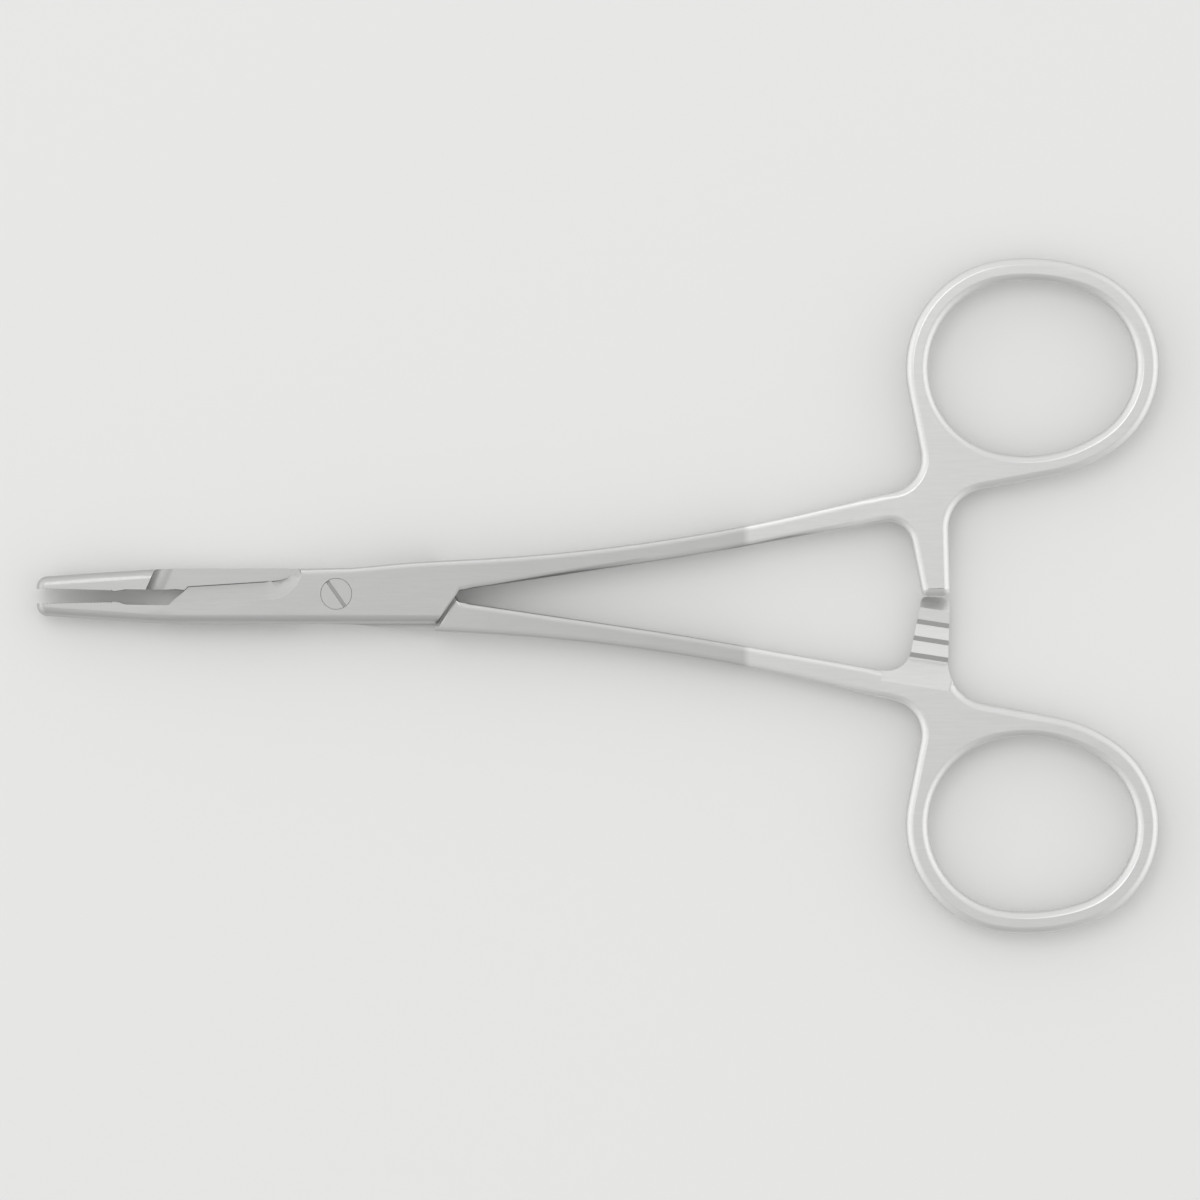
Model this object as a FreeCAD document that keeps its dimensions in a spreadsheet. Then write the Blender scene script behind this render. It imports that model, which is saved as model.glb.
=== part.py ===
import FreeCAD, Part
import math
import os
import re
import Sketcher

# Needle holder with scissor blades behind its jaws, a lap joint, and finger rings with a ratchet.
# Each half is drawn closed, from its tip at -X to its ring at +X. The pivot is the origin and the
# lap plane is z = 0. Plan distances are taken from the line on which the two jaws meet, which runs
# beside the pivot. The back half is the front half turned over that line, apart from its own
# throat and blade front. Setbacks count from the bend of the shank's outer edge. All lengths are in
# millimetres and all angles in degrees.

size_values = {
    # whole instrument
    "rest_half_angle": 1.34,
    "pivot_offset": 0.29,
    "joint_thickness": 5.0,
    "lap_clearance": 0.04,
    # jaw
    "jaw_length": 37.3,
    "tip_width": 1.51,
    "tip_thickness": 3.0,
    "tip_corner_radius": 1.3,
    "heel_distance": 21.7,
    "heel_width": 2.9,
    "heel_thickness": 4.5,
    "heel_blend_radius": 80.0,
    "grip_end_distance": 27.35,
    "grip_clearance": 0.01,
    "throat_ramp_length": 1.15,
    "front_throat_depth": 0.42,
    "front_throat_end_depth": 0.65,
    "back_throat_depth": 0.24,
    "back_throat_end_depth": 0.33,
    "groove_pitch": 0.42,
    "groove_width": 0.34,
    "groove_depth": 0.14,
    "groove_end_margin": 1.5,
    # scissor blade
    "front_blade_distance": 20.85,
    "back_blade_distance": 18.9,
    "blade_slant": 2.35,
    "blade_reach": 1.65,
    "edge_end_distance": 6.25,
    "edge_end_reach": 2.16,
    "edge_end_radius": 4.2,
    "runout_end_distance": 4.55,
    "bevel_width": 2.43,
    "bevel_land": 0.1,
    "bevel_stop_distance": 8.35,
    "bevel_stop_reach": 2.06,
    "bevel_stop_radius": 2.0,
    "bevel_angle": 1.1,
    # recess in which the other half slides
    "recess_clearance": 0.67,
    "recess_overlap": 4.0,
    "recess_angle": 22.5,
    "recess_radius": 2.1,
    # joint
    "waist_width": 3.46,
    "waist_end": 2.0,
    "waist_blend_radius": 15.0,
    "flank_start": 9.5,
    "flank_width": 3.97,
    "flank_blend_radius": 60.0,
    "crotch_distance": 14.98,
    "crotch_reach": 0.35,
    "crotch_radius": 0.45,
    "joint_edge_width": 3.73,
    "shoulder_angle": 31.9,
    "shoulder_clearance": 0.2,
    # shank
    "outer_bend_distance": 40.32,
    "outer_bend_reach": 4.86,
    "outer_bend_radius": 240.0,
    "shank_angle": 12.54,
    "inner_bend_setback": 2.68,
    "inner_bend_reach": 3.83,
    "inner_bend_radius": 300.0,
    "joint_flat_front": 10.0,
    "joint_flat_rear_margin": 3.02,
    "taper_end_setback": 25.68,
    "thickness_blend_radius": 120.0,
    # finger ring
    "ring_thickness": 3.2,
    "ring_width": 2.76,
    "front_centre_setback": 44.64,
    "front_centre_reach": 26.38,
    "front_radius": 10.77,
    "rear_centre_gap": 5.15,
    "rear_centre_reach": 26.53,
    "rear_radius": 9.99,
    "top_radius": 21.32,
    "bottom_radius": 16.63,
    "web_setback": 33.4,
    "web_radius": 4.24,
    # ratchet
    "bar_setback": 34.22,
    "bar_tip_width": 3.47,
    "bar_tip_reach": 1.7,
    "bar_tip_radius": 0.85,
    "bar_inner_flare": 1.73,
    "bar_inner_reach": 8.07,
    "bar_inner_radius": 3.0,
    "bar_outer_draft": 0.07,
    "bar_outer_reach": 10.74,
    "bar_outer_radius": 4.98,
    "ratchet_setback": 33.08,
    "ratchet_width": 8.8,
    "ratchet_angle": 7.5,
    "ratchet_clearance": 0.1,
    "tooth_count": 3,
    "tooth_start": 1.26,
    "tooth_pitch": 2.1,
    "tooth_depth": 0.45,
    "tooth_face_width": 0.6,
    "lead_start": 0.2,
    "lead_slope": 32.0,
    "ramp_start": 0.3,
    "ramp_length": 3.2,
    # broken edges
    "rim_chamfer": 0.7,
    "jaw_rim_radius": 1.15,
    "lap_edge_chamfer": 0.15,
    # how far a cut runs out past the steel
    "cut_margin": 2.0,
    # pivot screw
    "screw_diameter": 2.6,
    "screw_clearance": 0.1,
    "thread_clearance": 0.02,
    "head_diameter": 3.8,
    "head_height": 0.9,
    "head_clearance": 0.1,
    "slot_width": 0.45,
    "slot_depth": 0.5,
    "slot_angle": 125.0,
}

# limits that tell one kind of face, edge or cut from another
same_point = 1e-6
least_cut = 1e-4
upright_limit = 0.01
flat_limit = 0.9
facing_limit = 0.99
sideways_limit = 0.3

document = FreeCAD.newDocument("needle_holder")
sheet = document.addObject("Spreadsheet::Sheet", "sizes")
for row, (alias, number) in enumerate(size_values.items(), start=1):
    sheet.set(f"A{row}", alias)
    sheet.set(f"B{row}", str(number))
    sheet.setAlias(f"B{row}", alias)
document.recompute()


def cells(text):
    """Write each size in an expression as a reference to its cell."""
    return re.sub(r"[a-z_]+", lambda word: f"sizes.{word[0]}" if word[0] in size_values else word[0], text)


def number(text):
    result = sheet.evalExpression(cells(text))
    return float(getattr(result, "Value", result))


def bind(thing, prop, text):
    thing.setExpression(prop, cells(text))


def add_sketch(body, name, role, along=None, turn=None, x_shift=None):
    """Add a sketch on an origin plane, moved sideways and along its normal and turned about Z."""
    sketch = body.newObject("Sketcher::SketchObject", name)
    plane = next(item for item in body.Origin.OriginFeatures if item.Role == role)
    sketch.AttachmentSupport = [(plane, "")]
    sketch.MapMode = "FlatFace"
    if turn:
        upright = FreeCAD.Vector(0, 1, 0)
        sketch.AttachmentOffset = FreeCAD.Placement(FreeCAD.Vector(), FreeCAD.Rotation(upright, 1))
        bind(sketch, "AttachmentOffset.Rotation.Angle", turn)
    if x_shift:
        bind(sketch, "AttachmentOffset.Base.x", x_shift)
    if along:
        bind(sketch, "AttachmentOffset.Base.z", along)
    return sketch


def corner(x, y, radius=None):
    return {"x": x, "y": y, "radius": radius, "round": False}


def ring_arc(radius, x=None, y=None, centre=None):
    """An arc that turns left. One with no expressions for its centre is held by its neighbours."""
    return {"x": x, "y": y, "radius": radius, "round": True, "centre": centre}


def tangent_span(start, end, left):
    """The straight run between two items, each a corner or an arc that turns left or right."""
    a, b = start["point"], end["point"]
    if start["round"] and end["round"]:
        outward = (a - b) if start["size"] > end["size"] else (b - a)
        big, size = (a, start["size"]) if start["size"] > end["size"] else (b, end["size"])
        meeting = big - outward.normalize() * size
        return meeting, meeting
    if not start["round"] and not end["round"]:
        return a, b
    circle, point = (start, b) if start["round"] else (end, a)
    gap = circle["point"] - point
    lean = math.asin(circle["size"] / gap.Length)
    turn_left = left != start["round"]
    angle = math.atan2(gap.y, gap.x) + (-lean if turn_left else lean)
    reach = math.sqrt(gap.Length ** 2 - circle["size"] ** 2)
    touch = point + FreeCAD.Vector(math.cos(angle), math.sin(angle), 0) * reach
    return (touch, b) if start["round"] else (a, touch)


def add_arc(sketch, centre, size, start, end, left):
    """Add an arc from start to end and give its index and the numbers of those two ends."""
    first, last = (start, end) if left else (end, start)
    angles = [math.atan2(point.y - centre.y, point.x - centre.x) for point in (first, last)]
    if angles[1] < angles[0]:
        angles[1] += 2 * math.pi
    circle = Part.Circle(centre, FreeCAD.Vector(0, 0, 1), size)
    index = sketch.addGeometry(Part.ArcOfCircle(circle, *angles), False)
    return (index, 1, 2) if left else (index, 2, 1)


def hold(sketch, kind, geometry, position, text):
    """Fix a distance from the sketch origin along X or Y to an expression."""
    index = sketch.addConstraint(Sketcher.Constraint(kind, -1, 1, geometry, position, number(text)))
    bind(sketch, f"Constraints[{index}]", text)


def hold_radius(sketch, geometry, text):
    index = sketch.addConstraint(Sketcher.Constraint("Radius", geometry, number(text)))
    bind(sketch, f"Constraints[{index}]", text)


def draw_loop(sketch, items, left=True):
    """Draw a closed outline of straight runs with rounded corners and free arcs, all tangent."""
    for item in items:
        item["point"] = item.get("centre") or FreeCAD.Vector(number(item["x"]), number(item["y"]), 0)
        item["size"] = number(item["radius"]) if item["radius"] else 0.0
    count = len(items)
    spans = [tangent_span(items[i], items[(i + 1) % count], left) for i in range(count)]
    arcs = []
    for i, item in enumerate(items):
        before, after = spans[i - 1], spans[i]
        if item["round"]:
            arcs.append(add_arc(sketch, item["point"], item["size"], before[1], after[0], left))
        elif item["size"]:
            point = item["point"]
            back = (before[0] - point).normalize()
            ahead = (after[1] - point).normalize()
            half = back.getAngle(ahead) / 2
            cut = item["size"] / math.tan(half)
            centre = point + (back + ahead).normalize() * (item["size"] / math.sin(half))
            turns_left = back.cross(ahead).z < 0
            start, end = point + back * cut, point + ahead * cut
            spans[i - 1] = (before[0], start)
            spans[i] = (end, after[1])
            arcs.append(add_arc(sketch, centre, item["size"], start, end, turns_left))
        else:
            arcs.append(None)
    lines = []
    for start, end in spans:
        if (end - start).Length < same_point:
            lines.append(None)
        else:
            lines.append((sketch.addGeometry(Part.LineSegment(start, end), False), 1, 2))
    for i, (item, arc) in enumerate(zip(items, arcs)):
        before, after = lines[i - 1], lines[i]
        if arc is None:
            joint = Sketcher.Constraint("Coincident", before[0], before[2], after[0], after[1])
            sketch.addConstraint(joint)
            hold(sketch, "DistanceX", after[0], after[1], item["x"])
            hold(sketch, "DistanceY", after[0], after[1], item["y"])
            continue
        if before:
            tangent = Sketcher.Constraint("Tangent", before[0], before[2], arc[0], arc[1])
            sketch.addConstraint(tangent)
        follower = after or arcs[(i + 1) % count]
        sketch.addConstraint(Sketcher.Constraint("Tangent", arc[0], arc[2], follower[0], follower[1]))
        hold_radius(sketch, arc[0], item["radius"])
        if item["round"]:
            if item["x"]:
                hold(sketch, "DistanceX", arc[0], 3, item["x"])
                hold(sketch, "DistanceY", arc[0], 3, item["y"])
            continue
        mark = sketch.addGeometry(Part.Point(item["point"]), True)
        sketch.addConstraint(Sketcher.Constraint("PointOnObject", mark, 1, before[0]))
        sketch.addConstraint(Sketcher.Constraint("PointOnObject", mark, 1, after[0]))
        hold(sketch, "DistanceX", mark, 1, item["x"])
        hold(sketch, "DistanceY", mark, 1, item["y"])


def draw_circle(sketch, diameter):
    """Draw a circle round the sketch origin."""
    circle = Part.Circle(FreeCAD.Vector(), FreeCAD.Vector(0, 0, 1), number(diameter) / 2)
    index = sketch.addGeometry(circle, False)
    sketch.addConstraint(Sketcher.Constraint("Coincident", index, 3, -1, 1))
    hold_radius(sketch, index, f"({diameter}) / 2")


def bridge_centre(first, first_size, second, second_size, size, above):
    """The centre of an arc that passes round two circles and touches both from outside."""
    gap = second - first
    reach, other = size - first_size, size - second_size
    along = (reach ** 2 - other ** 2 + gap.Length ** 2) / (2 * gap.Length)
    across = math.sqrt(reach ** 2 - along ** 2)
    unit = FreeCAD.Vector(gap).normalize()
    side_step = FreeCAD.Vector(-unit.y, unit.x, 0) * across
    foot = first + unit * along
    ends = (foot + side_step, foot - side_step)
    return min(ends, key=lambda end: end.y) if above else max(ends, key=lambda end: end.y)


def cut(body, name, sketch, side_type="Symmetric", length=None, reversed_way=False):
    """Pocket a sketch and stop if nothing was removed."""
    before = body.Tip.Shape.Volume
    pocket = body.newObject("PartDesign::Pocket", name)
    pocket.Profile = sketch
    pocket.SideType = side_type
    pocket.Reversed = reversed_way
    if length:
        pocket.Type = "Length"
        bind(pocket, "Length", length)
    else:
        pocket.Type = "ThroughAll"
    document.recompute()
    if not pocket.Shape.Volume < before - least_cut:
        raise RuntimeError(f"{body.Label}: {name} removed nothing")
    return pocket


def middle_normal(face):
    low_u, high_u, low_v, high_v = face.ParameterRange
    return face.normalAt((low_u + high_u) / 2, (low_v + high_v) / 2)


def rim_edges(shape, wanted):
    """Names of the edges between an upright wall and a flat side, chosen by midpoint and wall normal."""
    names = []
    for index, edge in enumerate(shape.Edges, start=1):
        normals = [middle_normal(face) for face in shape.ancestorsOfType(edge, Part.Face)]
        wall = min(normals, key=lambda normal: abs(normal.z))
        flat = max(normals, key=lambda normal: abs(normal.z))
        point = edge.valueAt((edge.FirstParameter + edge.LastParameter) / 2)
        if abs(wall.z) < upright_limit and abs(flat.z) > flat_limit and wanted(point, wall):
            names.append(f"Edge{index}")
    return names


def upright_edges(shape, x, y):
    """Names of the upright edges that stand at a place in the plan."""
    names = []
    for index, edge in enumerate(shape.Edges, start=1):
        start, end = edge.valueAt(edge.FirstParameter), edge.valueAt(edge.LastParameter)
        foot = FreeCAD.Vector(x, y, start.z)
        if (start - foot).Length < same_point and abs(end.x - x) + abs(end.y - y) < same_point:
            names.append(f"Edge{index}")
    return names


def break_edges(body, kind, name, prop, size, edges):
    """Fillet or chamfer the edges whose names are given."""
    base = body.Tip
    feature = body.newObject(f"PartDesign::{kind}", name)
    feature.Base = (base, edges)
    bind(feature, prop, size)
    document.recompute()
    if "Invalid" in feature.State or feature.Shape.isNull():
        raise RuntimeError(f"{body.Label}: {name} failed")


def make_half(label, side, throat_depth, throat_end_depth, blade_distance, bore_size):
    """Build one half. side is 1 for the front half and -1 for the back half."""
    body = document.addObject("PartDesign::Body", label)
    body.Label = label
    faces_left = side > 0

    def across(text):
        return f"{side} * ({text}) - pivot_offset"

    def spot(x, y, radius=None):
        return corner(x, across(y), radius)

    front_centre = "outer_bend_distance + front_centre_setback"
    ring_centres = {"front": front_centre, "rear": f"{front_centre} + rear_centre_gap"}

    def end_circle(which, extra=""):
        return ring_arc(f"{which}_radius{extra}", ring_centres[which], across(f"{which}_centre_reach"))

    def side_arc(which, extra=""):
        rear = FreeCAD.Vector(number(ring_centres["rear"]), number(across("rear_centre_reach")), 0)
        front = FreeCAD.Vector(number(ring_centres["front"]), number(across("front_centre_reach")), 0)
        above = (which == "top") == (side > 0)
        sizes = number("rear_radius"), number("front_radius"), number(f"{which}_radius")
        centre = bridge_centre(rear, sizes[0], front, sizes[1], sizes[2], above)
        return ring_arc(f"{which}_radius{extra}", centre=centre)

    # plan outline, counter-clockwise from the tip along the outer edge of the jaw
    outline = add_sketch(body, f"{label}_outline", "XY_Plane")
    wall_foot = "crotch_distance - (crotch_reach + joint_edge_width) * tan(shoulder_angle)"
    bar = "outer_bend_distance + bar_setback"
    draw_loop(outline, [
        spot("-jaw_length", "-grip_clearance"),
        spot("-jaw_length", "-tip_width", "tip_corner_radius"),
        spot("-heel_distance", "-heel_width", "heel_blend_radius"),
        spot(wall_foot, "-joint_edge_width"),
        spot("crotch_distance", "crotch_reach"),
        spot("outer_bend_distance + inner_bend_setback", "inner_bend_reach", "inner_bend_radius"),
        spot(f"{bar} - bar_tip_width / 2 - bar_inner_flare", "bar_inner_reach", "bar_inner_radius"),
        spot(f"{bar} - bar_tip_width / 2", "-bar_tip_reach", "bar_tip_radius"),
        spot(f"{bar} + bar_tip_width / 2", "-bar_tip_reach", "bar_tip_radius"),
        spot(f"{bar} + bar_tip_width / 2 - bar_outer_draft", "bar_outer_reach", "bar_outer_radius"),
        side_arc("bottom", " + ring_width"),
        end_circle("rear", " + ring_width"),
        side_arc("top", " + ring_width"),
        end_circle("front", " + ring_width"),
        spot("outer_bend_distance + web_setback", "outer_bend_reach + web_setback * tan(shank_angle)",
             "web_radius"),
        spot("outer_bend_distance", "outer_bend_reach", "outer_bend_radius"),
        spot("flank_start", "flank_width", "flank_blend_radius"),
        spot("waist_end", "waist_width", "waist_blend_radius"),
        spot("-runout_end_distance", "waist_width"),
        spot("-edge_end_distance", "edge_end_reach", "edge_end_radius"),
        spot(f"blade_slant - {blade_distance}", "blade_reach"),
        spot(f"-{blade_distance}", f"-{throat_end_depth}"),
        spot("throat_ramp_length - grip_end_distance", f"-{throat_depth}"),
        spot("-grip_end_distance", "-grip_clearance"),
    ], faces_left)
    draw_loop(outline, [
        end_circle("rear"),
        side_arc("top"),
        end_circle("front"),
        side_arc("bottom"),
    ], faces_left)
    blank = body.newObject("PartDesign::Pad", f"{label}_blank")
    blank.Profile = outline
    blank.SideType = "Symmetric"
    bind(blank, "Length", "joint_thickness")
    document.recompute()

    # side profile: thickest at the joint, thinner towards the tip and the ring
    profile = add_sketch(body, f"{label}_side_profile", "XZ_Plane")
    jaw_slope = "(heel_thickness - tip_thickness) / 2 / (jaw_length - heel_distance)"
    past_tip = "-jaw_length - cut_margin"
    past_ring = f"{ring_centres['rear']} + rear_radius + ring_width + cut_margin"
    for way in (1, -1):
        draw_loop(profile, [
            corner(past_tip, f"{way} * joint_thickness"),
            corner(past_tip, f"{way} * (tip_thickness / 2 - cut_margin * {jaw_slope})"),
            corner("-heel_distance", f"{way} * heel_thickness / 2", "thickness_blend_radius"),
            corner("-joint_flat_front", f"{way} * joint_thickness / 2", "thickness_blend_radius"),
            corner("crotch_distance + joint_flat_rear_margin", f"{way} * joint_thickness / 2",
                   "thickness_blend_radius"),
            corner("outer_bend_distance + taper_end_setback", f"{way} * ring_thickness / 2",
                   "thickness_blend_radius"),
            corner(past_ring, f"{way} * ring_thickness / 2"),
            corner(past_ring, f"{way} * joint_thickness"),
        ])
    cut(body, f"{label}_thickness", profile)

    def along_rim(point, _wall):
        past_waist = side * point.y > 0 and point.x > -number("runout_end_distance")
        return past_waist or point.x > number("crotch_distance")

    def along_jaw(point, wall):
        return side * wall.y < -sideways_limit and point.x < number(wall_foot)

    rim = rim_edges(body.Tip.Shape, along_rim)
    break_edges(body, "Chamfer", f"{label}_rim", "Size", "rim_chamfer", rim)
    jaw_rim = rim_edges(body.Tip.Shape, along_jaw)
    break_edges(body, "Fillet", f"{label}_jaw_rim", "Radius", "jaw_rim_radius", jaw_rim)
    crotch = upright_edges(body.Tip.Shape, number("crotch_distance"), number(across("crotch_reach")))
    break_edges(body, "Fillet", f"{label}_crotch", "Radius", "crotch_radius", crotch)

    # recess: its front wall is a quarter round, its rear wall the shoulder that faces the other half
    recess_front = "(max(front_blade_distance; back_blade_distance) + recess_clearance)"
    floor = f"{side} * lap_clearance / 2"
    reach = f"{-side} * joint_thickness"
    wall = add_sketch(body, f"{label}_recess_wall", "XZ_Plane", turn=f"{side} * recess_angle",
                      x_shift=f"-{recess_front} - {side} * pivot_offset * tan(recess_angle)")
    draw_loop(wall, [
        corner("recess_overlap + cut_margin", floor),
        corner("-recess_radius", floor, "recess_radius"),
        corner("-recess_radius", reach),
        corner("recess_overlap + cut_margin", reach),
    ], side < 0)
    cut(body, f"{label}_recess_front", wall)

    shoulder = "crotch_distance + shoulder_clearance / cos(shoulder_angle)"
    lean = "tan(shoulder_angle)"
    past_edge = "(joint_edge_width + cut_margin)"
    rear = add_sketch(body, f"{label}_recess_plan", "XY_Plane", along=floor)
    draw_loop(rear, [
        corner(f"recess_overlap - {recess_front}", across(f"-{past_edge}")),
        corner(f"{shoulder} - (crotch_reach - {past_edge}) * {lean}", across(f"-{past_edge}")),
        corner(f"{shoulder} - (crotch_reach + {past_edge}) * {lean}", across(past_edge)),
        corner(f"recess_overlap - {recess_front}", across(past_edge)),
    ], faces_left)
    cut(body, f"{label}_recess_rear", rear, "One side", reversed_way=side < 0)

    def along_shoulder(point, wall):
        facing = number("cos(shoulder_angle)") * abs(wall.x) + number("sin(shoulder_angle)") * abs(wall.y)
        beside = abs(point.x - number("crotch_distance")) < number("joint_edge_width")
        return facing > facing_limit and beside and abs(point.z) > number("joint_thickness") / 4

    lap_edges = rim_edges(body.Tip.Shape, along_shoulder)
    break_edges(body, "Chamfer", f"{label}_lap_edges", "Size", "lap_edge_chamfer", lap_edges)

    # ground bevel of the scissor blade: a flat that ends in a cone where the wheel left the steel
    bevel_top = "bevel_stop_reach + bevel_stop_radius"
    bevel_foot = "lap_clearance / 2 + bevel_land"
    bevel_slope = f"bevel_width / (joint_thickness / 2 - {bevel_foot})"
    for name in ("bevel", "bevel_stop"):
        grind = add_sketch(body, f"{label}_{name}_profile", "YZ_Plane", along="-bevel_stop_distance",
                           turn=f"{side} * bevel_angle", x_shift=across(bevel_top))
        draw_loop(grind, [
            corner(f"-{side} * bevel_stop_radius", f"{side} * ({bevel_foot})"),
            corner(f"-{side} * (bevel_stop_radius + bevel_width + cut_margin * {bevel_slope})",
                   f"{side} * (joint_thickness / 2 + cut_margin)"),
            corner(f"-{side} * bevel_stop_radius / 2", f"{side} * (joint_thickness / 2 + cut_margin)"),
            corner(f"-{side} * bevel_stop_radius / 2", f"{side} * ({bevel_foot})"),
        ], faces_left)
        if name == "bevel":
            cut(body, f"{label}_{name}", grind, "One side", "jaw_length")
        else:
            turn_off(body, f"{label}_{name}", grind, side < 0)

    # ratchet teeth on the lap side of the bar, then the ramp up to the ring's own thickness
    crest = "ratchet_clearance / 2"
    root = "(ratchet_clearance / 2 + tooth_depth)"
    before_bar = "-bar_tip_reach - cut_margin"
    ramp_slope = f"({root} + ring_thickness / 2) / ramp_length"
    clear = "(-ring_thickness / 2 - cut_margin)"
    teeth = [(before_bar, f"{crest} + (bar_tip_reach + cut_margin - lead_start) * tan(lead_slope)"),
             ("-lead_start", crest)]
    for tooth in range(round(number("tooth_count"))):
        place = f"tooth_start + {tooth} * tooth_pitch"
        teeth.append((place, crest))
        teeth.append((f"{place} + tooth_face_width", root))
    ramp_foot = f"{place} + tooth_face_width + ramp_start"
    teeth.append((ramp_foot, root))
    teeth.append((f"{ramp_foot} + ramp_length + cut_margin / ({ramp_slope})", clear))
    teeth.append((before_bar, clear))
    rack = add_sketch(body, f"{label}_teeth", "YZ_Plane", along="outer_bend_distance + ratchet_setback",
                      turn="-ratchet_angle", x_shift="-pivot_offset")
    draw_loop(rack, [corner(f"{side} * ({reach})", f"{side} * ({height})") for reach, height in teeth])
    cut(body, f"{label}_ratchet", rack, "Symmetric", "ratchet_width")

    # cross grooves in the gripping face
    groove = add_sketch(body, f"{label}_groove_profile", "XY_Plane")
    last = "-grip_end_distance - groove_pitch"
    draw_loop(groove, [
        spot(f"{last} - groove_width", "groove_depth"),
        spot(f"{last} - groove_width", "-grip_clearance"),
        spot(f"{last} - groove_width / 2", "-grip_clearance - groove_depth"),
        spot(last, "-grip_clearance"),
        spot(last, "groove_depth"),
    ], faces_left)
    first_groove = cut(body, f"{label}_groove", groove)
    grooves = body.newObject("PartDesign::LinearPattern", f"{label}_grooves")
    grooves.Originals = [first_groove]
    axis = next(item for item in body.Origin.OriginFeatures if item.Role == "X_Axis")
    grooves.Direction = (axis, [""])
    grooves.Reversed = True
    groove_count = "floor((jaw_length - grip_end_distance - groove_end_margin) / groove_pitch)"
    bind(grooves, "Length", f"groove_pitch * ({groove_count} - 1)")
    bind(grooves, "Occurrences", groove_count)
    body.Tip = grooves
    document.recompute()

    # bore for the pivot screw, and the seat of its head in the front half
    bore = add_sketch(body, f"{label}_bore_circle", "XY_Plane")
    draw_circle(bore, bore_size)
    cut(body, f"{label}_bore", bore)
    if side > 0:
        seat = add_sketch(body, f"{label}_seat_circle", "XY_Plane",
                          along="joint_thickness / 2 - head_height - lap_clearance")
        draw_circle(seat, "head_diameter + head_clearance")
        cut(body, f"{label}_seat", seat, "One side", reversed_way=True)

    place_half(body, side)
    return body


def turn_off(body, name, sketch, clockwise):
    """Groove the sketch about its own upright axis, from its plane round towards the joint."""
    sweep = 150
    before = body.Tip.Shape.Volume
    groove = body.newObject("PartDesign::Groove", name)
    groove.Profile = sketch
    groove.ReferenceAxis = (sketch, ["V_Axis"])
    groove.Reversed = clockwise
    groove.Angle = sweep
    document.recompute()
    if not groove.Shape.Volume < before - least_cut:
        raise RuntimeError(f"{body.Label}: {name} removed nothing")
    return groove


def place_half(body, side):
    """Lift the body so that the joint's underside is at z = 0, and open it about the pivot."""
    body.Placement = FreeCAD.Placement(FreeCAD.Vector(), FreeCAD.Rotation(FreeCAD.Vector(0, 0, 1), 1))
    bind(body, "Placement.Rotation.Angle", f"{side} * rest_half_angle")
    bind(body, "Placement.Base.z", "joint_thickness / 2")


def make_screw(label):
    """A turned screw with a slotted flush head. Its foot is flush with the back half."""
    body = document.addObject("PartDesign::Body", label)
    body.Label = label
    turned = add_sketch(body, f"{label}_profile", "XZ_Plane")
    neck = "joint_thickness / 2 - head_height"
    draw_loop(turned, [
        corner("0", "-joint_thickness / 2"),
        corner("screw_diameter / 2", "-joint_thickness / 2"),
        corner("screw_diameter / 2", neck),
        corner("head_diameter / 2", neck),
        corner("head_diameter / 2", "joint_thickness / 2"),
        corner("0", "joint_thickness / 2"),
    ])
    shape = body.newObject("PartDesign::Revolution", f"{label}_turned")
    shape.Profile = turned
    shape.ReferenceAxis = (turned, ["V_Axis"])
    shape.Angle = 360
    document.recompute()
    slot = add_sketch(body, f"{label}_slot_profile", "XZ_Plane", turn="slot_angle - 90")
    draw_loop(slot, [
        corner("-slot_width / 2", "joint_thickness / 2 - slot_depth"),
        corner("slot_width / 2", "joint_thickness / 2 - slot_depth"),
        corner("slot_width / 2", "joint_thickness"),
        corner("-slot_width / 2", "joint_thickness"),
    ])
    cut(body, f"{label}_slot", slot)
    bind(body, "Placement.Base.z", "joint_thickness / 2")
    return body


halves = [
    make_half("front_half", 1, "front_throat_depth", "front_throat_end_depth", "front_blade_distance",
              "screw_diameter + screw_clearance"),
    make_half("back_half", -1, "back_throat_depth", "back_throat_end_depth", "back_blade_distance",
              "screw_diameter + thread_clearance"),
]
bodies = halves + [make_screw("pivot_screw")]
document.recompute()

for item in document.Objects:
    if "Invalid" in item.State or "Error" in item.State:
        raise RuntimeError(f"{item.Label}: {item.State}")
for body in bodies:
    if body.Shape.isNull() or not body.Shape.isValid() or len(body.Shape.Solids) != 1:
        raise RuntimeError(f"{body.Label} is not one valid solid")

os.makedirs("parts", exist_ok=True)
for body in bodies:
    body.Shape.exportStep(f"parts/{body.Label}.step")
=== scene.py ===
import math
import bmesh
import bpy
import numpy as np
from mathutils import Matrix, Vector


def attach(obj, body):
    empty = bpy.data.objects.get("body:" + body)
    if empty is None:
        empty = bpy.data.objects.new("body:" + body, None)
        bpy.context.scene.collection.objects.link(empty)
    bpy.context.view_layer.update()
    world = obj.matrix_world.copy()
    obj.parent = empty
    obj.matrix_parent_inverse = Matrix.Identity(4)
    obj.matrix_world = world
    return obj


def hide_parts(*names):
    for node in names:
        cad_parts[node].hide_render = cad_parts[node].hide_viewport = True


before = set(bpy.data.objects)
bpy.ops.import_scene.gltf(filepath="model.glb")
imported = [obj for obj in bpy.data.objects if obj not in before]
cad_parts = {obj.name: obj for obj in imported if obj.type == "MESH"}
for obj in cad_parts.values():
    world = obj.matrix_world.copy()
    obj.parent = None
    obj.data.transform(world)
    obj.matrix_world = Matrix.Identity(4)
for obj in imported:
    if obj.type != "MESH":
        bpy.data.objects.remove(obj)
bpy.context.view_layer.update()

mm = 0.001


def srgb(hexColour):
    # each channel of the hex value is undone from sRGB to linear light
    channels = [int(hexColour[i:i + 2], 16) / 255 for i in (1, 3, 5)]
    linear = [c / 12.92 if c <= 0.04045 else ((c + 0.055) / 1.055) ** 2.4 for c in channels]
    return (*linear, 1.0)


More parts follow.
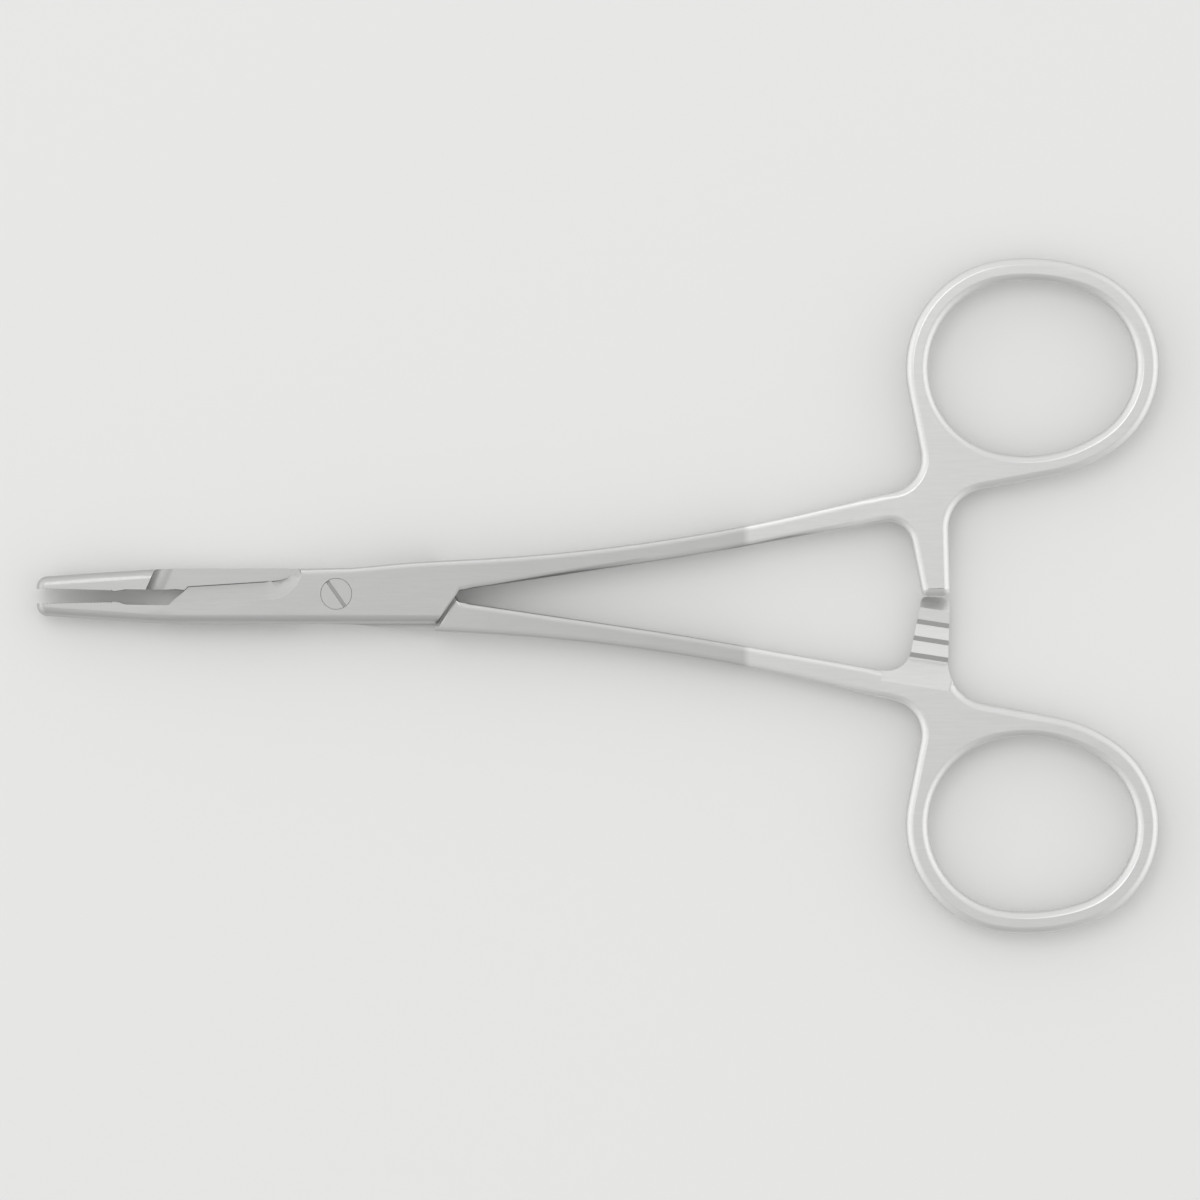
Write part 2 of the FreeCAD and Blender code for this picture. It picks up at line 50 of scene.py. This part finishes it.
def addNode(material, kind, settings=None, links=None):
    # one node with its attributes or socket values, and the sockets that feed it
    node = material.node_tree.nodes.new(kind)
    for key, value in (settings or {}).items():
        if isinstance(key, str) and hasattr(node, key):
            setattr(node, key, value)
        else:
            node.inputs[key].default_value = value
    for key, source in (links or {}).items():
        material.node_tree.links.new(source, node.inputs[key])
    return node


def newMaterial(name):
    material = bpy.data.materials.new(name)
    material.use_nodes = True
    material.node_tree.nodes.clear()
    return material


# the steel pieces: finer copies of the frame's solids, with their 45 degree rims rounded

steelForm = {
    "mergeDistance": 0.001 * mm,
    "wallUp": 0.1,                # the vertical share of a normal is less than this on a wall,
    "rimUp": (0.62, 0.78),        # between these on a 45 degree rim
    "flatUp": 0.99,               # and more than this on a flat side
    "chamfer": 0.7 * mm,          # width of the flat that stands for the rounded rim in the frame
    "ringExtra": 0.2 * mm,        # how much farther in the rounding starts on the webs and rings
    "rimStartX": -3.9 * mm,       # the rounding begins behind the ground bevel
    "leastSlope": 0.1,            # fall for its length from which a line leads down a rim
    "crossShare": 0.7,            # a line with this share of the chamfer's height crosses the rim
    "liftShare": 0.3,             # ends nearer than this share of it to the flat side are lifted
    "rimSteps": 5,                # points added across the rounding
    "shankPower": 5.0,            # crisp edges along the shanks
    "ringPower": 1.35,            # broad soft edges round the webs and rings
    "softX": (60 * mm, 72 * mm),  # where one passes into the other
    "refineLevels": 1,            # each level halves every side of every triangle
    "outlineAngle": 25.0,         # degrees at which the outline has a true corner
    "smoothAngle": 30.0,          # degrees between faces that shade as one
}


def mergedArrays(node):
    # the node's loose triangles, joined at their shared corners
    work = bmesh.new()
    work.from_mesh(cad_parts[node].data)
    bmesh.ops.remove_doubles(work, verts=work.verts, dist=steelForm["mergeDistance"])
    bmesh.ops.dissolve_degenerate(work, edges=work.edges, dist=steelForm["mergeDistance"] / 10)
    bmesh.ops.triangulate(work, faces=work.faces)
    work.verts.index_update()
    points = np.array([v.co for v in work.verts], float)
    corners = np.array([[v.index for v in f.verts] for f in work.faces], int)
    work.free()
    return points, corners


def between(values, limits):
    return (values > limits[0]) & (values < limits[1])


def unit(rows):
    # each row over its own length; a row without length stays zero
    return rows / np.maximum(np.linalg.norm(rows, axis=-1, keepdims=True), 1e-12)


def faceNormals(points, corners):
    # cross product of two sides: its length is twice the triangle's area
    a, b, c = (points[corners[:, column]] for column in range(3))
    return np.cross(b - a, c - a)


def upwardShare(weighted):
    # the vertical part of each unit normal, up or down
    return np.abs(unit(weighted)[:, 2])


def gather(count, corners, rows):
    # the sum of a value per triangle at each of its three corners
    total = np.zeros((count, 3))
    for column in range(3):
        np.add.at(total, corners[:, column], rows)
    return total


def sidesOf(corners):
    # the three sides of each triangle, as pairs of points
    return np.stack([corners, np.roll(corners, -1, 1)], -1)


def edgeKeys(pairs, count):
    # one number for each pair of points, whichever of them comes first
    return pairs.min(-1) * count + pairs.max(-1)


def middleHeight(points):
    # halfway between the lowest and the highest point, in the plane in which the halves lap
    return (points[:, 2].min() + points[:, 2].max()) / 2


def findRims(points, corners):
    # the triangles of the 45 degree rims, behind the ground bevel
    upward = upwardShare(faceNormals(points, corners))
    return between(upward, steelForm["rimUp"]) & (points[corners][:, :, 0].mean(1) > steelForm["rimStartX"])


def joinRows(points, corners):
    # the frame crosses a tightly curved rim in two rows of triangles: each point between them joins
    # the neighbour below it with the steepest slope, which is the fall over the side's length, so
    # that one line leads from the flat side to the wall
    count = len(points)
    isRim = findRims(points, corners)
    height = np.abs(points[:, 2] - middleHeight(points))
    onRims = np.bincount(corners[isRim].ravel(), minlength=count)
    loose = onRims == np.bincount(corners.ravel(), minlength=count)
    sides = sidesOf(corners)[isRim].reshape(-1, 2)
    sides = np.concatenate([sides, sides[:, ::-1]])
    sides = sides[loose[sides[:, 0]] & ~loose[sides[:, 1]]]
    fall = height[sides[:, 0]] - height[sides[:, 1]]
    slope = fall / np.linalg.norm(points[sides[:, 0]] - points[sides[:, 1]], axis=1)
    order = np.argsort(slope)
    order = order[slope[order] > steelForm["leastSlope"]]
    target = np.arange(count)
    target[sides[order, 0]] = sides[order, 1]
    joined = target[corners]
    whole = (joined != np.roll(joined, -1, 1)).all(1)
    return points, joined[whole]


# painted shade and highlight on some machined faces of the halves: how bright each kind is painted beside
# the satin ones, and where it lies
halfPaintedLight = {
    "flank": 0.80,                # painted shade on the steep faces of the ratchet's teeth
    "flankUp": (0.7, 0.9),
    "barX": (72 * mm, 82 * mm),
    "barY": 9 * mm,
    "bevel": 1.12,                # painted highlight on the ground bevel
    "bevelUp": (0.6, 0.8),
    "bladeX": (-21.5 * mm, -4.0 * mm),
    "bladeY": 2.1 * mm,
    "land": 0.35,                 # painted shade: the fine dark line along the cutting edge
    "landUp": 0.95,
    "landX": (-18.5 * mm, -8.1 * mm, -7.0 * mm),
    "landTop": (0.33 * mm, 0.115 * mm, 0.27 * mm),   # how high the land reaches at each of these X
    "landHeight": (0.08 * mm, 0.9 * mm),             # its upper points lie between these
    "landLean": 0.14 * mm,        # and lean back by this, so that the land shows
}


def onBlade(places):
    # along the blades in X, and no farther than bladeY from the middle line
    return between(places[:, 0], halfPaintedLight["bladeX"]) & (np.abs(places[:, 1]) < halfPaintedLight["bladeY"])


def leanLand(points, corners):
    # the upper points of the thin land below each ground bevel move against its level normal
    height = np.abs(points[:, 2] - middleHeight(points))
    weighted = faceNormals(points, corners)
    wall = upwardShare(weighted) < steelForm["wallUp"]
    level = unit(gather(len(points), corners[wall], weighted[wall] * (1, 1, 0)))
    upper = onBlade(points) & between(height, halfPaintedLight["landHeight"])
    points[upper] -= level[upper] * halfPaintedLight["landLean"]
    return points, corners


def softness(places):
    # 0 along the shanks and 1 round the rings, with the smooth step 3 t^2 - 2 t^3 between
    low, high = steelForm["softX"]
    share = np.clip((places - low) / (high - low), 0, 1)
    return share * share * (3 - 2 * share)


def rimProfile(soft):
    # the rounding's section, x^n + y^n = 1 with x outward and y upward: a high n is a crisp corner
    # and a low one a broad soft bevel; its normal points along (x^(n-1), y^(n-1))
    power = steelForm["shankPower"] + (steelForm["ringPower"] - steelForm["shankPower"]) * soft[:, None]
    turn = np.linspace(0, math.pi / 2, steelForm["rimSteps"] + 2)[None, 1:-1]
    x, y = np.sin(turn) ** (2 / power), np.cos(turn) ** (2 / power)
    return x[..., None], y[..., None], (x ** (power - 1))[..., None], (y ** (power - 1))[..., None]


def crossingLines(corners, isRim, height):
    # the sides that cross a rim, once each, from the upper end to the lower one
    sides = sidesOf(corners)
    drop = np.abs(height[sides[..., 0]] - height[sides[..., 1]])
    crossing = isRim[:, None] & (drop > steelForm["crossShare"] * steelForm["chamfer"])
    first = np.unique(edgeKeys(sides, len(height))[crossing], return_index=True)[1]
    ends = sides[crossing][first]
    swap = height[ends[:, 0]] < height[ends[:, 1]]
    ends[swap] = ends[swap][:, ::-1]
    return ends


def splitFaces(corners, isRim, ends, count):
    # each triangle is split along its bent sides: one with a single bent side becomes a fan from the
    # corner opposite, and one with two a ladder between them
    steps = steelForm["rimSteps"]
    keys, bentKeys = edgeKeys(sidesOf(corners), count), edgeKeys(ends, count)
    place = np.searchsorted(bentKeys, keys).clip(0, len(bentKeys) - 1)
    found = bentKeys[place] == keys
    hits = found.sum(1)

    def runAlong(edge, start):
        # the points of a bent line from one of its ends to the other
        added = count + edge[:, None] * steps + np.arange(steps)
        forward = start == ends[edge, 0]
        added = np.where(forward[:, None], added, added[:, ::-1])
        far = np.where(forward, ends[edge, 1], ends[edge, 0])
        return np.column_stack([start, added, far])

    rows = np.nonzero(hits == 1)[0]
    side = found[rows].argmax(1)
    line = runAlong(place[rows, side], corners[rows, side])
    apex = corners[rows, (side + 2) % 3]
    pieces = [corners[hits == 0]]
    marks = [isRim[hits == 0]]
    for k in range(steps + 1):
        pieces.append(np.column_stack([line[:, k], line[:, k + 1], apex]))
        marks.append(isRim[rows])

    rows = np.nonzero(hits == 2)[0]
    plain = (~found[rows]).argmax(1)
    apex = corners[rows, (plain + 2) % 3]
    ahead = runAlong(place[rows, (plain + 2) % 3], apex)
    behind = runAlong(place[rows, (plain + 1) % 3], apex)
    pieces.append(np.column_stack([apex, ahead[:, 1], behind[:, 1]]))
    marks.append(isRim[rows])
    for k in range(1, steps + 1):
        pieces.append(np.column_stack([ahead[:, k], ahead[:, k + 1], behind[:, k + 1]]))
        pieces.append(np.column_stack([ahead[:, k], behind[:, k + 1], behind[:, k]]))
        marks += [isRim[rows], isRim[rows]]
    return np.concatenate(pieces), np.concatenate(marks)


def roundRims(points, corners):
    # every line that crosses a 45 degree rim, from the flat side's edge A to the wall's edge B, is
    # bent: P = (1-s)(A + x w(A) o(A) - (1-y) r u) + s (B - (1-x) w(B) o(B) + y r u), where x and y
    # are the section's coordinates, s = (x + 1 - y) / 2, r is the rim's height and w its width, o
    # are the level normals and u is up; A is first moved in by w - r
    size = steelForm["chamfer"]
    count = len(points)
    middle = middleHeight(points)
    height = np.abs(points[:, 2] - middle)
    isRim = findRims(points, corners)
    ends = crossingLines(corners, isRim, height)
    if not len(ends):
        return points, corners, np.zeros(len(corners), bool), np.zeros_like(points)

    weighted = faceNormals(points, corners)
    outward = unit(gather(count, corners[isRim], weighted[isRim] * (1, 1, 0)))
    extra = steelForm["ringExtra"] * softness(points[:, 0])[:, None]
    upper = np.unique(ends[:, 0])
    points[upper] -= outward[upper] * extra[upper]
    # an upper end on the lap's own small edge is lifted to the flat side beside it
    onFlat = np.zeros(count, bool)
    onFlat[corners[upwardShare(weighted) > steelForm["flatUp"]]] = True
    nearFlat = height[upper] > height.max() - steelForm["liftShare"] * size
    lifted = upper[nearFlat & ~onFlat[upper]]
    points[lifted, 2] = middle + np.sign(points[lifted, 2] - middle) * height.max()

    a, b = points[ends[:, 0], None], points[ends[:, 1], None]
    outA, outB = outward[ends[:, 0], None], outward[ends[:, 1], None]
    widthA, widthB = size + extra[ends[:, 0], None], size + extra[ends[:, 1], None]
    up = np.sign(a[..., 2:] - middle) * (0, 0, 1)
    x, y, normalX, normalY = rimProfile(softness(a[:, 0, 0]))
    s = (x + 1 - y) / 2
    fromA = a + x * widthA * outA - (1 - y) * size * up
    fromB = b - (1 - x) * widthB * outB + y * size * up
    bent = (1 - s) * fromA + s * fromB
    bentNormals = ((1 - s) * outA / widthA + s * outB / widthB) * normalX + up / size * normalY
    allPoints = np.concatenate([points, bent.reshape(-1, 3)])

    # normals of the rim: straight up or down at the flat side, level at the wall
    rimNormals = np.zeros_like(allPoints)
    rimNormals[ends[:, 0]] = up[:, 0]
    rimNormals[ends[:, 1]] = outB[:, 0]
    rimNormals[count:] = unit(bentNormals).reshape(-1, 3)
    return allPoints, *splitFaces(corners, isRim, ends, count), rimNormals


def refine(points, faces, isRim, rimNormals):
    # each side is halved, and the new point is moved level onto the curve through both ends:
    # M = (A + B) / 2 - ((a.d) a - (b.d) b) / 8, where a and b are the outline's level normals at
    # the ends and d = B - A; a point where the outline has a corner stays, and so do flat faces
    count = len(points)
    weighted = faceNormals(points, faces)
    curved = upwardShare(weighted) < steelForm["flatUp"]
    level = weighted[curved] * (1, 1, 0)
    outline = unit(gather(count, faces[curved], level))
    agreement = np.ones(count)
    for column in range(3):
        vertex = faces[curved, column]
        np.minimum.at(agreement, vertex, (outline[vertex] * unit(level)).sum(1))
    outline[agreement < math.cos(math.radians(steelForm["outlineAngle"]))] = 0

    keys, where = np.unique(edgeKeys(sidesOf(faces), count), return_inverse=True)
    where = where.reshape(-1, 3)
    a, b = keys // count, keys % count
    bends = np.zeros(len(keys), bool)
    bends[where[curved].ravel()] = True
    bends &= (np.abs(outline[a]).sum(1) > 0) & (np.abs(outline[b]).sum(1) > 0)
    span = points[b] - points[a]
    alongA = (outline[a] * span).sum(1, keepdims=True) * outline[a]
    alongB = (outline[b] * span).sum(1, keepdims=True) * outline[b]
    middles = (points[a] + points[b]) / 2 - np.where(bends[:, None], alongA - alongB, 0) / 8
    both = (np.abs(rimNormals[a]).sum(1) > 0) & (np.abs(rimNormals[b]).sum(1) > 0)
    middleNormals = np.where(both[:, None], unit(rimNormals[a] + rimNormals[b]), 0)
    m = where + count
    split = [np.column_stack([faces[:, 0], m[:, 0], m[:, 2]]),
             np.column_stack([m[:, 0], faces[:, 1], m[:, 1]]),
             np.column_stack([m[:, 2], m[:, 1], faces[:, 2]]), m]
    return (np.concatenate([points, middles]), np.concatenate(split), np.tile(isRim, 4),
            np.concatenate([rimNormals, middleNormals]))


def cornerNormals(points, faces, isRim, rimNormals):
    # at each corner of each face, the area-weighted mean over the faces of its own kind that meet
    # there within the smooth angle; on the rims, the section's own normals
    weighted = faceNormals(points, faces)
    flat = unit(weighted)
    vertex = faces.ravel()
    face = np.repeat(np.arange(len(faces)), 3)
    # every corner is paired with all the corners at its point
    order = np.argsort(vertex, kind="stable")
    starts = np.searchsorted(vertex[order], np.arange(len(points)))
    repeats = np.bincount(vertex, minlength=len(points))[vertex]
    one = np.repeat(np.arange(len(vertex)), repeats)
    step = np.arange(len(one)) - np.repeat(np.cumsum(repeats) - repeats, repeats)
    other = order[starts[vertex[one]] + step]
    near = (flat[face[one]] * flat[face[other]]).sum(1) > math.cos(math.radians(steelForm["smoothAngle"]))
    keep = near & (isRim[face[one]] == isRim[face[other]])
    total = np.zeros((len(vertex), 3))
    np.add.at(total, one[keep], weighted[face[other[keep]]])
    normals = unit(total)
    onRim = isRim[face] & (np.abs(rimNormals[vertex]).sum(1) > 0)
    normals[onRim] = rimNormals[vertex[onRim]]
    return normals


def paintHalfLightAndShade(points, faces, isRim):
    # painted light and shade of each face of a half: 1 on the satin ones, and its kind's own painted share
    # on the machined ones: painted shade on the teeth's flanks and the land, a painted highlight on the
    # bevel
    normals = unit(faceNormals(points, faces))
    upward = np.abs(normals[:, 2])
    towardsOwnRing = np.prod(normals[:, 1:], axis=1) < 0
    centre = points[faces].mean(1)
    height = np.abs(centre[:, 2] - middleHeight(points))
    share = np.ones(len(faces))
    onBar = between(centre[:, 0], halfPaintedLight["barX"]) & (np.abs(centre[:, 1]) < halfPaintedLight["barY"])
    share[onBar & ~isRim & between(upward, halfPaintedLight["flankUp"]) & towardsOwnRing] = halfPaintedLight["flank"]
    blade = onBlade(centre)
    share[blade & between(upward, halfPaintedLight["bevelUp"])] = halfPaintedLight["bevel"]
    landTop = np.interp(centre[:, 0], halfPaintedLight["landX"], halfPaintedLight["landTop"])
    share[blade & (upward < halfPaintedLight["landUp"]) & (height < landTop)] = halfPaintedLight["land"]
    return share


# the screw: the painted shade on its slot's floor, and where that lies
screwPaintedShade = {
    "slot": 0.78,
    "slotUp": 0.9,
    "slotDepth": (0.1 * mm, 1.0 * mm),
}


def paintScrewSlotShade(points, faces, isRim):
    # painted shade on the screw's faces: 1, and less on the level faces a little below the top, the slot's
    # floor
    depth = points[:, 2].max() - points[faces].mean(1)[:, 2]
    upward = upwardShare(faceNormals(points, faces))
    inSlot = (upward > screwPaintedShade["slotUp"]) & between(depth, screwPaintedShade["slotDepth"]) & ~isRim
    return np.where(inSlot, screwPaintedShade["slot"], 1.0)


def addSteel(name, node, body, material, paintLightAndShade):
    form = roundRims(*leanLand(*joinRows(*mergedArrays(node))))
    for _ in range(steelForm["refineLevels"]):
        form = refine(*form)
    points, faces, isRim = form[:3]
    mesh = bpy.data.meshes.new(name)
    mesh.from_pydata(points, [], faces)
    mesh.shade_smooth()
    mesh.normals_split_custom_set(cornerNormals(*form))
    # each face's painted light and shade: a share that the material multiplies into the colour
    paintedLightAndShade = mesh.attributes.new("paintedLightAndShade", "FLOAT", "FACE")
    paintedLightAndShade.data.foreach_set("value", paintLightAndShade(points, faces, isRim).astype(np.float32))
    mesh.materials.append(material)
    piece = bpy.data.objects.new(name, mesh)
    bpy.context.scene.collection.objects.link(piece)
    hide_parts(node)
    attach(piece, body)
    print(name, len(faces), "triangles")


satinSteel = {
    "jawColour": "#C2C2C1",
    "ringColour": "#DEDEDD",
    "boundaryX": 50.9 * mm,      # the rings and the rear shanks are finished brighter
    "boundaryWidth": 0.9 * mm,
    "jawRoughness": 0.40,
    "ringRoughness": 0.36,
    "grain": 0.25 * mm,          # real blasting grain is finer, drawn as coarse as it shows
    "grainDepth": 0.003 * mm,
    "brushSpacing": 0.30 * mm,   # fine lines along the instrument, many times as long as wide
    "brushStretch": 14.0,
    "noiseRange": (0.3, 0.7),    # most of a noise lies between these,
    "toneRange": (0.975, 1.02),  # and is spread over these shares of the colour
    "roughRange": (0.9, 1.12),   # and of the roughness
}


def makeSatinSteel():
    # martensitic stainless steel, glass-bead blasted and lightly brushed: an even grey without mirror
    s = satinSteel
    noiseRange = {"From Min": s["noiseRange"][0], "From Max": s["noiseRange"][1]}
    m = newMaterial("satinStainlessSteel")
    where = addNode(m, "ShaderNodeTexCoord").outputs["Object"]
    axes = addNode(m, "ShaderNodeSeparateXYZ", links={0: where})
    zone = addNode(m, "ShaderNodeMapRange",
                   {"From Min": s["boundaryX"] - s["boundaryWidth"] / 2,
                    "From Max": s["boundaryX"] + s["boundaryWidth"] / 2}, {"Value": axes.outputs["X"]})
    grain = addNode(m, "ShaderNodeTexNoise", {"Scale": 1 / s["grain"], "Detail": 3.0, "Roughness": 0.6},
                    {"Vector": where})
    stretched = addNode(m, "ShaderNodeMapping", {"Scale": (1 / s["brushStretch"], 1, 1)}, {"Vector": where})
    brush = addNode(m, "ShaderNodeTexNoise", {"Scale": 1 / s["brushSpacing"], "Detail": 4.0},
                    {"Vector": stretched.outputs[0]})
    tone = addNode(m, "ShaderNodeMix",
                   {"data_type": "RGBA", "A": srgb(s["jawColour"]), "B": srgb(s["ringColour"])},
                   {"Factor": zone.outputs["Result"]})
    speck = addNode(m, "ShaderNodeMapRange",
                    {**noiseRange, "To Min": s["toneRange"][0], "To Max": s["toneRange"][1]},
                    {"Value": brush.outputs["Fac"]})
    # the painted light and shade of each face, read from its attribute
    paintedLightAndShade = addNode(m, "ShaderNodeAttribute", {"attribute_name": "paintedLightAndShade"})
    share = addNode(m, "ShaderNodeMath", {"operation": "MULTIPLY"},
                    {0: speck.outputs["Result"], 1: paintedLightAndShade.outputs["Fac"]})
    colour = addNode(m, "ShaderNodeVectorMath", {"operation": "SCALE"},
                     {"Vector": tone.outputs["Result"], "Scale": share.outputs[0]})
    rough = addNode(m, "ShaderNodeMapRange", {"To Min": s["jawRoughness"], "To Max": s["ringRoughness"]},
                    {"Value": zone.outputs["Result"]})
    uneven = addNode(m, "ShaderNodeMapRange",
                     {**noiseRange, "To Min": s["roughRange"][0], "To Max": s["roughRange"][1]},
                     {"Value": grain.outputs["Fac"]})
    roughness = addNode(m, "ShaderNodeMath", {"operation": "MULTIPLY"},
                        {0: rough.outputs["Result"], 1: uneven.outputs["Result"]})
    heights = addNode(m, "ShaderNodeMath", {"operation": "ADD"},
                      {0: grain.outputs["Fac"], 1: brush.outputs["Fac"]})
    bump = addNode(m, "ShaderNodeBump", {"Strength": 0.5, "Distance": s["grainDepth"]},
                   {"Height": heights.outputs[0]})
    shader = addNode(m, "ShaderNodeBsdfPrincipled", {"Metallic": 1.0},
                     {"Base Color": colour.outputs[0], "Roughness": roughness.outputs[0],
                      "Normal": bump.outputs[0]})
    addNode(m, "ShaderNodeOutputMaterial", links={"Surface": shader.outputs[0]})
    return m


turnedSteel = {
    "colour": "#C2C2C1",
    "roughness": 0.40,
    "ringSpacing": 0.22 * mm,    # the tool's feed, drawn as coarse as it shows
    "ringDepth": 0.004 * mm,
    "toneRange": (0.95, 1.03),   # shares of the colour between a ring's two sides
}


def makeTurnedSteel():
    # hardened steel screw, faced on a lathe and then satin finished: faint rings round its axis
    s = turnedSteel
    unitSpacing = 0.314          # metres between the rings of a wave texture of scale 1
    m = newMaterial("turnedScrewSteel")
    where = addNode(m, "ShaderNodeTexCoord").outputs["Object"]
    rings = addNode(m, "ShaderNodeTexWave",
                    {"wave_type": "RINGS", "rings_direction": "Z", "Scale": unitSpacing / s["ringSpacing"],
                     "Distortion": 0.6, "Detail": 1.0}, {"Vector": where})
    shade = addNode(m, "ShaderNodeMapRange", {"To Min": s["toneRange"][0], "To Max": s["toneRange"][1]},
                    {"Value": rings.outputs["Fac"]})
    # the painted shade in the slot, read from each face's attribute
    paintedLightAndShade = addNode(m, "ShaderNodeAttribute", {"attribute_name": "paintedLightAndShade"})
    share = addNode(m, "ShaderNodeMath", {"operation": "MULTIPLY"},
                    {0: shade.outputs["Result"], 1: paintedLightAndShade.outputs["Fac"]})
    tone = addNode(m, "ShaderNodeVectorMath", {"operation": "SCALE", 0: srgb(s["colour"])[:3]},
                   {"Scale": share.outputs[0]})
    bump = addNode(m, "ShaderNodeBump", {"Strength": 0.4, "Distance": s["ringDepth"]},
                   {"Height": rings.outputs["Fac"]})
    shader = addNode(m, "ShaderNodeBsdfPrincipled", {"Metallic": 1.0, "Roughness": s["roughness"]},
                     {"Base Color": tone.outputs[0], "Normal": bump.outputs[0]})
    addNode(m, "ShaderNodeOutputMaterial", links={"Surface": shader.outputs[0]})
    return m


print("materials")
steel = makeSatinSteel()
screwSteel = makeTurnedSteel()

print("pieces")
addSteel("frontHalf", "front_half", "front", steel, paintHalfLightAndShade)
addSteel("backHalf", "back_half", "back", steel, paintHalfLightAndShade)
addSteel("pivotScrew", "pivot_screw", "back", screwSteel, paintScrewSlotShade)


# the photograph looks straight down from far away
view = {
    "centre": (32.73 * mm, -0.77 * mm, 2.5 * mm),
    "span": 149.3 * mm,          # width that the picture covers
    "height": 0.9,               # of the camera over the centre
    "sensor": 36.0,
    "clip": (0.01, 10.0),
}


def addCamera():
    data = bpy.data.cameras.new("camera")
    data.sensor_width = view["sensor"]
    data.lens = view["sensor"] * view["height"] / view["span"]
    data.clip_start, data.clip_end = view["clip"]
    camera = bpy.data.objects.new("camera", data)
    camera.location = Vector(view["centre"]) + Vector((0, 0, view["height"]))
    bpy.context.scene.collection.objects.link(camera)
    bpy.context.scene.camera = camera


floorSettings = {
    "colour": "#E9E9E8",
    "roughness": (0.75, 0.9),
    "reach": 1.6,
    "mottle": 16 * mm,           # the paint's faint unevenness
    "gap": 0.02 * mm,            # keeps the table and the flat undersides out of one plane
}


def addFloor():
    # a flat square, reach to each side of the middle of the view, of matt painted board: an even
    # pale grey that keeps the object's shadow
    reach, centre = floorSettings["reach"], view["centre"]
    grid = np.array([(-1, -1), (1, -1), (1, 1), (-1, 1)]) * reach
    mesh = bpy.data.meshes.new("floor")
    corners = [(centre[0] + x, centre[1] + y, -floorSettings["gap"]) for x, y in grid]
    mesh.from_pydata(corners, [], [(0, 1, 2, 3)])
    floor = bpy.data.objects.new("floor", mesh)
    bpy.context.scene.collection.objects.link(floor)
    m = newMaterial("paintedFloor")
    where = addNode(m, "ShaderNodeTexCoord").outputs["Object"]
    mottle = addNode(m, "ShaderNodeTexNoise", {"Scale": 1 / floorSettings["mottle"], "Detail": 2.0},
                     {"Vector": where})
    low, high = floorSettings["roughness"]
    rough = addNode(m, "ShaderNodeMapRange", {"To Min": low, "To Max": high},
                    {"Value": mottle.outputs["Fac"]})
    shader = addNode(m, "ShaderNodeBsdfPrincipled", {"Base Color": srgb(floorSettings["colour"])},
                     {"Roughness": rough.outputs["Result"]})
    addNode(m, "ShaderNodeOutputMaterial", links={"Surface": shader.outputs[0]})
    mesh.materials.append(m)


studio = {
    "background": "#F4F4F3",
    "overhead": 0.66,            # the soft ceiling over the table
    "sideGain": 0.62,            # bright walls left and right of the object
    "backGain": 0.36,            # a pale wall behind it
    "backPower": 2.0,
    "frontLoss": 0.22,           # the dark side, in front of it
    "frontPower": 7.0,
}


def addWorld():
    # strength = overhead + sideGain X^2 + backGain max(Y, 0)^backPower - frontLoss max(-Y, 0)^frontPower,
    # where X and Y are the direction's level parts
    world = bpy.data.worlds.new("softStudio")
    bpy.context.scene.world = world
    world.use_nodes = True
    world.node_tree.nodes.clear()
    path = addNode(world, "ShaderNodeLightPath")
    direction = addNode(world, "ShaderNodeTexCoord").outputs["Generated"]
    axes = addNode(world, "ShaderNodeSeparateXYZ", links={0: direction})
    x, y = axes.outputs["X"], axes.outputs["Y"]
    sideways = addNode(world, "ShaderNodeMath", {"operation": "MULTIPLY"}, {0: x, 1: x})
    backY = addNode(world, "ShaderNodeMath", {"operation": "MAXIMUM", 1: 0.0}, {0: y})
    back = addNode(world, "ShaderNodeMath", {"operation": "POWER", 1: studio["backPower"]},
                   {0: backY.outputs[0]})
    frontY = addNode(world, "ShaderNodeMath", {"operation": "MULTIPLY", 1: -1.0, "use_clamp": True}, {0: y})
    front = addNode(world, "ShaderNodeMath", {"operation": "POWER", 1: studio["frontPower"]},
                    {0: frontY.outputs[0]})
    withSides = addNode(world, "ShaderNodeMath",
                        {"operation": "MULTIPLY_ADD", 1: studio["sideGain"], 2: studio["overhead"]},
                        {0: sideways.outputs[0]})
    withBack = addNode(world, "ShaderNodeMath", {"operation": "MULTIPLY_ADD", 1: studio["backGain"]},
                       {0: back.outputs[0], 2: withSides.outputs[0]})
    strength = addNode(world, "ShaderNodeMath", {"operation": "MULTIPLY_ADD", 1: -studio["frontLoss"]},
                       {0: front.outputs[0], 2: withBack.outputs[0]})
    sky = addNode(world, "ShaderNodeBackground", {"Color": (1, 1, 1, 1)}, {"Strength": strength.outputs[0]})
    seen = addNode(world, "ShaderNodeBackground", {"Color": srgb(studio["background"]), "Strength": 1.0})
    mix = addNode(world, "ShaderNodeMixShader", links={0: path.outputs["Is Camera Ray"],
                                                       1: sky.outputs[0], 2: seen.outputs[0]})
    addNode(world, "ShaderNodeOutputWorld", links={"Surface": mix.outputs[0]})


# each lamp: width and height, place from the middle of the view, and power in watts
lamps = {
    "overheadLamp": {"size": (0.5, 0.5), "place": (-0.2, 0.33, 0.87), "power": 1.1},
    "leftLamp": {"size": (0.9, 0.2), "place": (-0.75, 0.0, 0.3), "power": 0.15},
    "rightLamp": {"size": (0.9, 0.2), "place": (0.75, 0.0, 0.3), "power": 0.15},
}


def addLamp(name, size, place, power):
    # a rectangle of light, turned to the middle of the view
    data = bpy.data.lights.new(name, "AREA")
    data.shape = "RECTANGLE"
    data.size, data.size_y = size
    data.energy = power
    lamp = bpy.data.objects.new(name, data)
    lamp.location = Vector(view["centre"]) + Vector(place)
    lamp.rotation_euler = (-Vector(place)).to_track_quat("-Z", "Y").to_euler()
    bpy.context.scene.collection.objects.link(lamp)


print("studio")
addFloor()
addWorld()
for name, lamp in lamps.items():
    addLamp(name, **lamp)
addCamera()
bpy.context.scene.view_settings.view_transform = "Standard"
